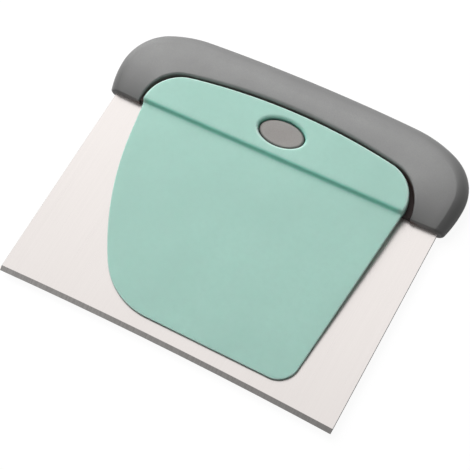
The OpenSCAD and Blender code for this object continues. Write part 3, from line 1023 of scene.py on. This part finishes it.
def filled(outline, hole, centre, axes, rows, spacing):
    """Triangles over the plan between an outline and an oval hole."""
    scale = 1 / MM
    points = [p * scale for p in outline] + [p * scale for p in hole]
    count = len(outline)
    edges = [(k, (k + 1) % count) for k in range(count)]
    edges += [(count + k, count + (k + 1) % len(hole)) for k in range(len(hole))]
    low_y = min(p.y for p in outline)
    high_y = max(p.y for p in outline)
    half = max(abs(p.x) for p in outline)
    levels = [low_y + spacing * k for k in range(1, int((high_y - low_y) / spacing) + 1)]
    gap = 0.45 * spacing
    levels = [y for y in levels if not rows[0] - gap < y < rows[-1] + gap] + rows
    margin = offset(outline, 0.4 * spacing)
    for index, y in enumerate(sorted(levels)):
        start = -half + (0.5 * spacing if index % 2 else 0.0)
        for k in range(int(2 * half / spacing) + 1):
            x = start + k * spacing
            if ((x - centre.x) / (axes[0] + 0.5 * spacing)) ** 2 + (
                (y - centre.y) / (axes[1] + 0.5 * spacing)
            ) ** 2 < 1:
                continue
            if inside(margin, x, y):
                points.append(Vector((x * scale, y * scale)))
    verts, _, faces, _, _, _ = delaunay_2d_cdt(points, edges, [], 1, 1e-5)
    kept = []
    for face in faces:
        middle = sum((verts[i] for i in face), Vector((0, 0))) / len(face) * MM
        spot = ((middle.x - centre.x) / axes[0]) ** 2 + ((middle.y - centre.y) / axes[1]) ** 2
        if spot > 1:
            kept.append(face)
    return [v * MM for v in verts], kept


class SCRAPER_OT_bowl_scraper(bpy.types.Operator):
    """Build the flexible scraper with its soft step and its flared hole"""

    bl_idname = "scraper.bowl_scraper"
    bl_label = "Build bowl scraper"

    def execute(self, context):
        sizes = context.scene.scraper_bowl
        handle = context.scene.scraper_handle
        stud = context.scene.scraper_stud
        shape = BowlScraperShape(
            sizes, GREEN_HIGH.z, stud.panel + 0.3 * MM, GREEN_LOW.z, EDGE_Y
        )
        shape.rows = shape.step_rows()
        loop = shape.outline()
        turns = [math.radians(a) for a in range(0, 91, 10)]
        edge_radius = [
            sizes.blade_edge
            + (sizes.grip_edge - sizes.blade_edge) * ease(p.y, sizes.step - MM, sizes.step + 1.4 * MM)
            for p in loop
        ]
        centre = Vector((0.0, handle.foot + stud.rise))
        half_x = STUD_HIGH.x + sizes.hole_fit
        half_y = (STUD_HIGH.y - STUD_LOW.y) / 2 + sizes.hole_fit
        steps = 120
        hole = [
            centre + Vector((half_x * math.cos(t), half_y * math.sin(t)))
            for t in (2 * math.pi * k / steps for k in range(steps))
        ]
        rings = []
        for turn in turns:
            inward = sizes.under_edge * (1 - math.sin(turn))
            rings.append(
                [
                    (p.x, p.y, shape.under(p.y) + sizes.under_edge * (1 - math.cos(turn)))
                    for p in offset(loop, inward)
                ]
            )
        for turn in turns:
            inward = [r * (1 - math.cos(turn)) for r in edge_radius]
            rings.append(
                [
                    (q.x, q.y, shape.face(q.y) - r * (1 - math.sin(turn)))
                    for q, r in zip(offset(loop, inward), edge_radius)
                ]
            )
        flare = []
        for turn in reversed(turns):
            outward = -sizes.hole_round * (1 - math.cos(turn))
            flare.append(
                [
                    (p.x, p.y, shape.grip_z - sizes.hole_round * (1 - math.sin(turn)))
                    for p in offset(hole, outward)
                ]
            )
        flare.append([(p.x, p.y, shape.under_z) for p in hole])
        verts, faces = [], []

        def strips(chain):
            start = len(verts)
            count = len(chain[0])
            for ring in chain:
                verts.extend(placed(*p) for p in ring)
            for k in range(len(chain) - 1):
                for j in range(count):
                    a, b = start + k * count + j, start + k * count + (j + 1) % count
                    faces.append((a, b, b + count, a + count))

        strips(rings)
        strips(flare)

        def surface(outline, rim, axes, rows, height):
            plan, tris = filled(outline, rim, centre, axes, rows, sizes.spacing)
            start = len(verts)
            verts.extend(placed(p.x, p.y, height(p.y)) for p in plan)
            faces.extend(tuple(start + i for i in face) for face in tris)

        top_loop = [Vector(p[:2]) for p in rings[-1]]
        top_hole = [Vector(p[:2]) for p in flare[0]]
        reach = sizes.hole_round
        levels = [y for y, _ in shape.rows]
        surface(top_loop, top_hole, (half_x + reach, half_y + reach), levels, shape.face)
        low_loop = [Vector(p[:2]) for p in rings[0]]
        surface(low_loop, hole, (half_x, half_y), [shape.root_y], shape.under)
        finishes = context.scene.scraper_finishes
        material = sea_green_finish("sea_green", finishes.green, finishes.deep, finishes.pale)
        piece = new_piece("flexible_scraper_body", verts, faces, material, 40.0)
        self.shade(piece.data, shape, centre, (half_x, half_y))
        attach(piece, "flexible_scraper")
        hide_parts("bowl_scraper")
        return {"FINISHED"}

    def shade(self, mesh, shape, centre, axes):
        """Stores painted light as tones: painted shade in the folds and on the lower parts of the
        sides that face right and to the front, and painted highlights along the top edges and the
        hole's lower rim.
        """
        sizes = shape.sizes
        fold = mesh.attributes.new("fold", "FLOAT", "POINT")
        edge = mesh.attributes.new("edge", "FLOAT", "POINT")
        under = mesh.attributes.new("under", "FLOAT", "POINT")
        for vert in mesh.vertices:
            x, y = vert.co.x, vert.co.y - EDGE_Y
            depth = shape.face(y) - vert.co.z
            radius = math.hypot((x - centre.x) / axes[0], (y - centre.y) / axes[1])
            shown = ease(vert.normal.z, 0.2, 0.5)
            if radius < 1.0 + 1.5 * sizes.hole_round / axes[1]:
                side = (centre.y - y) / axes[1]
                # Painted shade on the upper side of the hole's flare, and a painted highlight on its
                # lower rim
                fold.data[vert.index].value = ease(depth, 0.05 * MM, MM) * ease(-side, -0.9, 0.1)
                edge.data[vert.index].value = ease(depth, 0.0, 0.08 * MM) * ease(side, -0.1, 0.5)
                continue
            # Painted shade on the lower parts of the sides that face right and to the front
            away = 0.6 * vert.normal.x - 0.8 * vert.normal.y
            low = depth / (shape.face(y) - shape.under(y))
            under.data[vert.index].value = ease(away, 0.0, 0.4) * ease(low, 0.2, 0.8)
            if shown > 0:
                # Painted shade along the step, fading out before the grip's sides, and a painted
                # highlight along the top edges
                middle = sizes.step + 0.1 * MM
                ends = ease(self.side_gap(shape, x), 1.0 * MM, 3.5 * MM)
                fold.data[vert.index].value = ends * (1 - ease(abs(y - middle), 0.2 * MM, 1.1 * MM))
                away = ease(abs(y - middle), 1.5 * MM, 3 * MM)
                edge.data[vert.index].value = ease(depth, 0.0, 0.05 * MM) * shown * away

    def side_gap(self, shape, x):
        """Distance from the grip's nearer side."""
        return shape.half - abs(x)


class SCRAPER_OT_stud(bpy.types.Operator):
    """Build the oval stud on its two pegs"""

    bl_idname = "scraper.stud"
    bl_label = "Build stud"

    def execute(self, context):
        sizes = context.scene.scraper_stud
        handle = context.scene.scraper_handle
        centre = Vector((0.0, handle.foot + sizes.rise))
        half_x = STUD_HIGH.x
        half_y = (STUD_HIGH.y - STUD_LOW.y) / 2
        verts, faces = [], []

        def lathe(rings):
            start = len(verts)
            count = len(rings[0])
            for ring in rings:
                verts.extend(ring)
            for k in range(len(rings) - 1):
                for j in range(count):
                    a, b = start + k * count + j, start + k * count + (j + 1) % count
                    faces.append((a, b, b + count, a + count))
            faces.append(tuple(start + j for j in reversed(range(count))))
            last = start + (len(rings) - 1) * count
            faces.append(tuple(last + j for j in range(count)))

        def oval(a, b, z, middle, count=144):
            return [
                placed(
                    middle.x + a * math.cos(2 * math.pi * k / count),
                    middle.y + b * math.sin(2 * math.pi * k / count),
                    z,
                )
                for k in range(count)
            ]

        top = STUD_HIGH.z
        rings = [oval(half_x - 0.05 * MM, half_y - 0.05 * MM, sizes.panel, centre)]
        rings.append(oval(half_x, half_y, sizes.panel + 0.05 * MM, centre))
        for k in range(10):
            turn = math.radians(10 * k)
            inset = sizes.rim * (1 - math.cos(turn))
            rings.append(
                oval(half_x - inset, half_y - inset, top - sizes.rim * (1 - math.sin(turn)), centre)
            )
        for share in (0.8, 0.5, 0.2):
            a, b = half_x - sizes.rim, half_y - sizes.rim
            rings.append(oval(a * share, b * share, top, centre))
        lathe(rings)
        for side in (-1, 1):
            middle = centre + Vector((side * sizes.pitch / 2, 0))
            r = sizes.peg / 2
            low = STUD_LOW.z
            lathe(
                [
                    oval(r - 0.3 * MM, r - 0.3 * MM, low, middle, 48),
                    oval(r, r, low + 0.3 * MM, middle, 48),
                    oval(r, r, sizes.panel + 0.5 * MM, middle, 48),
                ]
            )
        # The stud's finish paints a dark ring of shade round its rim
        oval = (centre.x, centre.y + EDGE_Y, half_x, half_y)
        grey = context.scene.scraper_finishes.stud_grey
        material = soft_grey_finish("stud_grey", grey, oval=oval)
        piece = new_piece("oval_stud", verts, faces, material, 40.0)
        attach(piece, "bench_scraper")
        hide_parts("stud")
        return {"FINISHED"}


def refinish(node, material):
    """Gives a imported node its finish."""
    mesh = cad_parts[node].data
    mesh.materials.clear()
    mesh.materials.append(material)


class SCRAPER_OT_blade(bpy.types.Operator):
    """Brush the steel blade"""

    bl_idname = "scraper.blade"
    bl_label = "Finish steel blade"

    def execute(self, context):
        finishes = context.scene.scraper_finishes
        steel = brushed_steel_finish("brushed_steel", finishes.steel, ground_steel_and_shade=finishes.ground_steel_and_shade)
        refinish("blade", steel)
        return {"FINISHED"}


class SCRAPER_OT_core(bpy.types.Operator):
    """Finish the rigid core and its rivets"""

    bl_idname = "scraper.core"
    bl_label = "Finish core"

    def execute(self, context):
        finishes = context.scene.scraper_finishes
        refinish("front_core", soft_grey_finish("core_front_grey", finishes.dark, 0.6))
        refinish("back_core", soft_grey_finish("core_back_grey", finishes.grey, 0.6))
        refinish("core_rivets", brushed_steel_finish("rivet_steel", finishes.rivet, 0.35))
        return {"FINISHED"}


class SCRAPER_OT_stage(bpy.types.Operator):
    """Set the camera, the floor and the lights"""

    bl_idname = "scraper.stage"
    bl_label = "Set stage"

    def execute(self, context):
        scene = context.scene
        stage = scene.scraper_stage
        back = CAMERA_RIGHT.cross(CAMERA_UP).normalized()
        camera = bpy.data.cameras.new("camera")
        camera.lens = stage.focal
        camera.sensor_width = 36.0
        camera.clip_start = 0.02
        camera.clip_end = 50.0
        holder = bpy.data.objects.new("camera", camera)
        scene.collection.objects.link(holder)
        turn = Matrix((CAMERA_RIGHT, CAMERA_UP, back)).transposed()
        spot = CAMERA_PLACE + Vector((0.0, EDGE_Y, FACE_Z))
        holder.matrix_world = Matrix.Translation(spot) @ turn.to_4x4()
        scene.camera = holder
        self.lamp(context, "key", KEY_PLACE, LAMP_WIDTH, stage.key).visible_glossy = False
        self.lamp(context, "sheen", SHEEN_PLACE, LAMP_WIDTH, stage.sheen)
        self.floor(context)
        world = bpy.data.worlds.new("studio")
        scene.world = world
        world.use_nodes = True
        tree = Tree(world.node_tree)
        light = tree.add(
            "ShaderNodeBackground", None, {"Color": (1, 1, 1, 1), "Strength": stage.fill}
        )
        white = tree.add("ShaderNodeBackground", None, {"Color": (1, 1, 1, 1), "Strength": 1.0})
        rays = tree.add("ShaderNodeLightPath", None, None, "Is Camera Ray")
        shown = (rays + rays.other("Is Glossy Ray") + rays.other("Is Transmission Ray")).least(1.0)
        seen = tree.add("ShaderNodeMixShader", None, {0: shown, 1: light, 2: white})
        tree.add("ShaderNodeOutputWorld", None, {"Surface": seen})
        scene.view_settings.view_transform = "Standard"
        return {"FINISHED"}

    def lamp(self, context, name, place, width, power):
        data = bpy.data.lights.new(name, "AREA")
        data.shape = "SQUARE"
        data.size = width
        data.energy = power
        lamp = bpy.data.objects.new(name, data)
        context.scene.collection.objects.link(lamp)
        lamp.location = place
        lamp.rotation_euler = (-Vector(place)).to_track_quat("-Z", "Y").to_euler()
        return lamp

    def floor(self, context):
        half = context.scene.scraper_stage.floor_half
        mesh = bpy.data.meshes.new("floor")
        mesh.from_pydata(
            [(-half, -half, 0), (half, -half, 0), (half, half, 0), (-half, half, 0)],
            [],
            [(0, 1, 2, 3)],
        )
        floor = bpy.data.objects.new("floor", mesh)
        context.scene.collection.objects.link(floor)
        material, tree = new_finish("pale_floor")
        rays = tree.add("ShaderNodeLightPath", None, None, "Is Camera Ray")
        shown = (rays + rays.other("Is Glossy Ray") + rays.other("Is Transmission Ray")).least(1.0)
        plain = tree.add("ShaderNodeBsdfDiffuse", None, {"Color": (0.5, 0.5, 0.5, 1)})
        glow = tree.add("ShaderNodeEmission", None, {"Color": (1, 1, 1, 1), "Strength": 0.93})
        thin = tree.add("ShaderNodeBsdfDiffuse", None, {"Color": (0.1, 0.1, 0.1, 1)})
        white = tree.add("ShaderNodeAddShader", None, {0: glow, 1: thin})
        close_finish(tree, tree.add("ShaderNodeMixShader", None, {0: shown, 1: plain, 2: white}))
        mesh.materials.append(material)
        floor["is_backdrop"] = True


class SCRAPER_PT_panel(bpy.types.Panel):
    """Buttons that build the set, piece by piece"""

    bl_idname = "SCRAPER_PT_panel"
    bl_label = "Bench scraper"
    bl_space_type = "VIEW_3D"
    bl_region_type = "UI"
    bl_category = "Scraper"

    def draw(self, context):
        for operator in OPERATORS:
            self.layout.operator(operator.bl_idname)
        for name in SETTINGS:
            box = self.layout.box()
            group = getattr(context.scene, name)
            for item in group.bl_rna.properties:
                if item.identifier not in {"rna_type", "name"}:
                    box.prop(group, item.identifier)


SETTINGS = {
    "scraper_handle": HandleSizes,
    "scraper_bowl": BowlScraperSizes,
    "scraper_stud": StudSizes,
    "scraper_finishes": Finishes,
    "scraper_stage": StageSizes,
}
OPERATORS = (
    SCRAPER_OT_stage,
    SCRAPER_OT_handle,
    SCRAPER_OT_bowl_scraper,
    SCRAPER_OT_stud,
    SCRAPER_OT_blade,
    SCRAPER_OT_core,
)


def register():
    for group in SETTINGS.values():
        bpy.utils.register_class(group)
    for operator in OPERATORS:
        bpy.utils.register_class(operator)
    bpy.utils.register_class(SCRAPER_PT_panel)
    for name, group in SETTINGS.items():
        setattr(bpy.types.Scene, name, bpy.props.PointerProperty(type=group))


def unregister():
    for name in SETTINGS:
        delattr(bpy.types.Scene, name)
    bpy.utils.unregister_class(SCRAPER_PT_panel)
    for operator in OPERATORS:
        bpy.utils.unregister_class(operator)
    for group in SETTINGS.values():
        bpy.utils.unregister_class(group)


def plain(bounds):
    """Bounds as plain lists of numbers."""
    return [[float(x) for x in corner] for corner in bounds]


def main():
    register()
    packed = plain(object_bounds())
    bpy.ops.scraper.stage()
    bpy.ops.scraper.handle()
    bpy.ops.scraper.bowl_scraper()
    bpy.ops.scraper.stud()
    bpy.ops.scraper.blade()
    bpy.ops.scraper.core()
    {"cad": packed, "visual": plain(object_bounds())}


if __name__ == "__main__":
    main()
